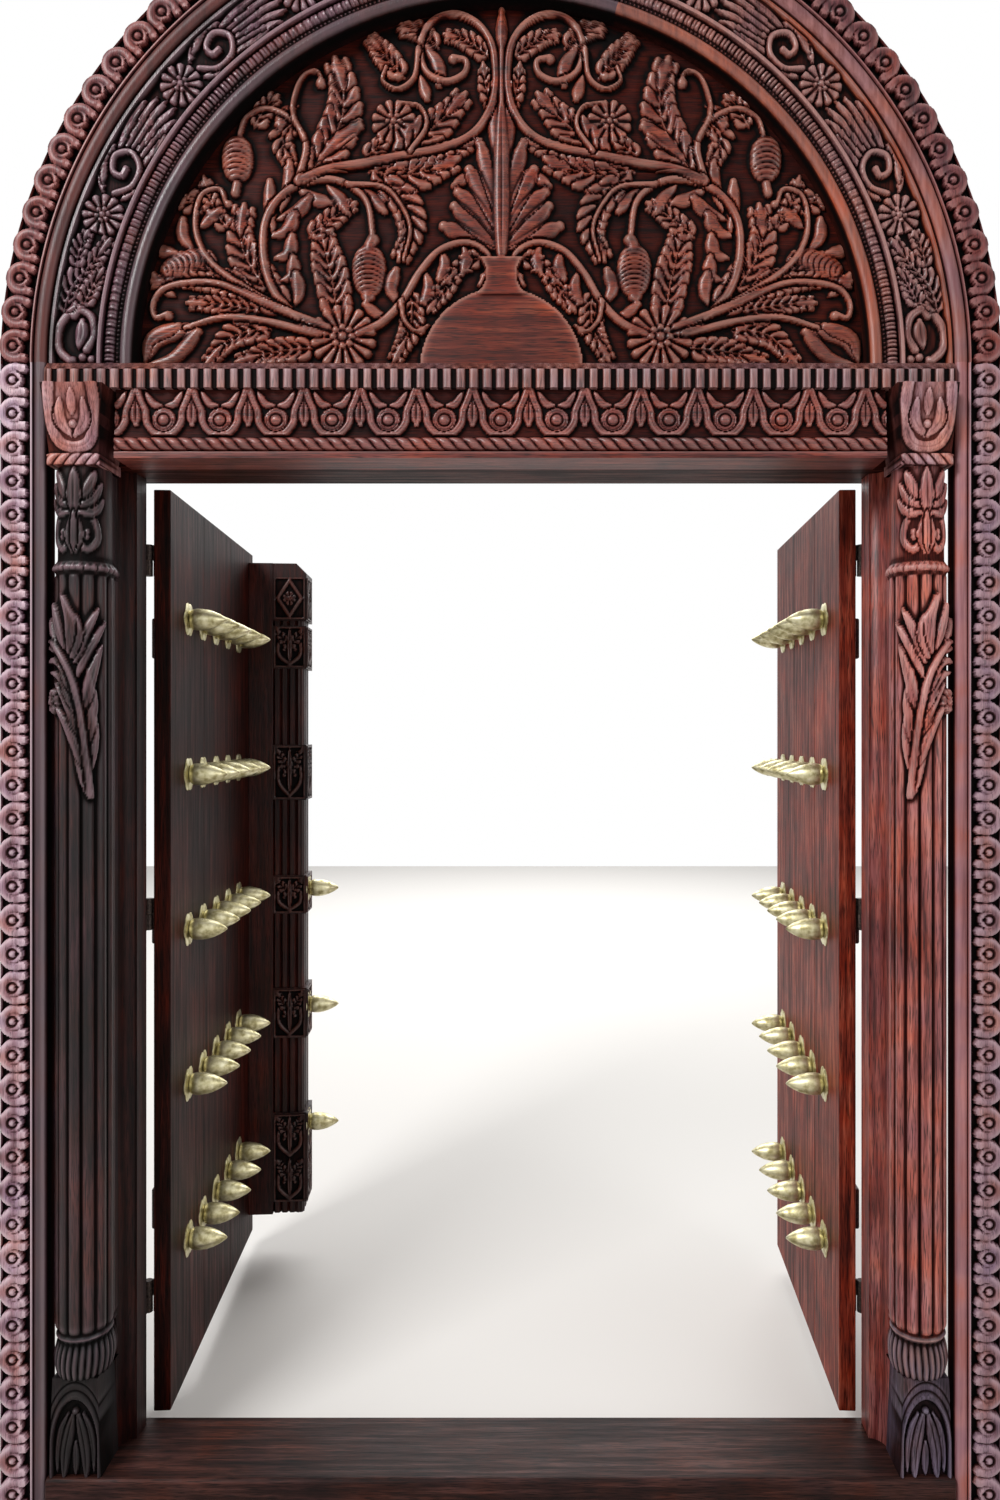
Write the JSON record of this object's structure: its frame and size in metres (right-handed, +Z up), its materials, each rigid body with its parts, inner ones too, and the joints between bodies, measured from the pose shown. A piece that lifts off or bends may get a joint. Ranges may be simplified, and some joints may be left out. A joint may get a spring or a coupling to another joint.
{
  "type": "carved temple door",
  "caption": "Carved timber double door with brass spikes on its leaves, round arched tympanum, engaged columns and full frame with threshold.",
  "frame": {"origin": "middle of the threshold's underside", "axes": "+X right as seen from outside, +Y into the building, +Z up"},
  "size_m": [1.97, 1.15, 3.2404],
  "materials": {
    "carved_wood": "oiled",
    "plank_wood": "oiled",
    "sill_wood": "worn",
    "spike_brass": "satin",
    "hinge_iron": "forged"
  },
  "bodies": {
    "frame": {"architrave_arch_1": "carved_wood", "architrave_arch_2": "carved_wood", "architrave_arch_3": "carved_wood", "architrave_arch_4": "carved_wood", "architrave_arch_5": "carved_wood", "architrave_upright_left": "carved_wood", "architrave_upright_right": "carved_wood", "capital_left": "carved_wood", "capital_right": "carved_wood", "column_left": "carved_wood", "column_right": "carved_wood", "frieze_board": "carved_wood", "jamb_left": "carved_wood", "jamb_right": "carved_wood", "jamb_stop_left": "carved_wood", "jamb_stop_right": "carved_wood", "left_frame_hinge_plates": "hinge_iron", "lintel": "carved_wood", "pedestal_left": "carved_wood", "pedestal_right": "carved_wood", "reeded_rail": "carved_wood", "right_frame_hinge_plates": "hinge_iron", "rope_moulding": "carved_wood", "threshold": "sill_wood", "tympanum_board_lower": "carved_wood", "tympanum_board_middle": "carved_wood", "tympanum_board_upper": "carved_wood", "vine_ring_1": "carved_wood", "vine_ring_2": "carved_wood", "vine_ring_3": "carved_wood", "vine_ring_4": "carved_wood", "vine_ring_5": "carved_wood"},
    "left_leaf": {"centre_post": "carved_wood", "left_leaf_hinge_plates": "hinge_iron", "left_ledges": "plank_wood", "left_plank_1": "plank_wood", "left_plank_2": "plank_wood", "left_plank_3": "plank_wood", "left_spike_plates": "spike_brass", "left_spikes": "spike_brass", "post_spike_plates": "spike_brass", "post_spikes": "spike_brass"},
    "right_leaf": {"right_leaf_hinge_plates": "hinge_iron", "right_ledges": "plank_wood", "right_plank_1": "plank_wood", "right_plank_2": "plank_wood", "right_plank_3": "plank_wood", "right_spike_plates": "spike_brass", "right_spikes": "spike_brass"}
  },
  "joints": [
    {"name": "left_leaf_hinge", "type": "hinge", "parent": "frame", "child": "left_leaf", "pos_m": [-0.772, 0.119, 1.137], "axis": [0, 0, 1], "range_deg": [-93.7, 6]},
    {"name": "right_leaf_hinge", "type": "hinge", "parent": "frame", "child": "right_leaf", "pos_m": [0.772, 0.119, 1.137], "axis": [0, 0, -1], "range_deg": [-92.3, 6]}
  ]
}
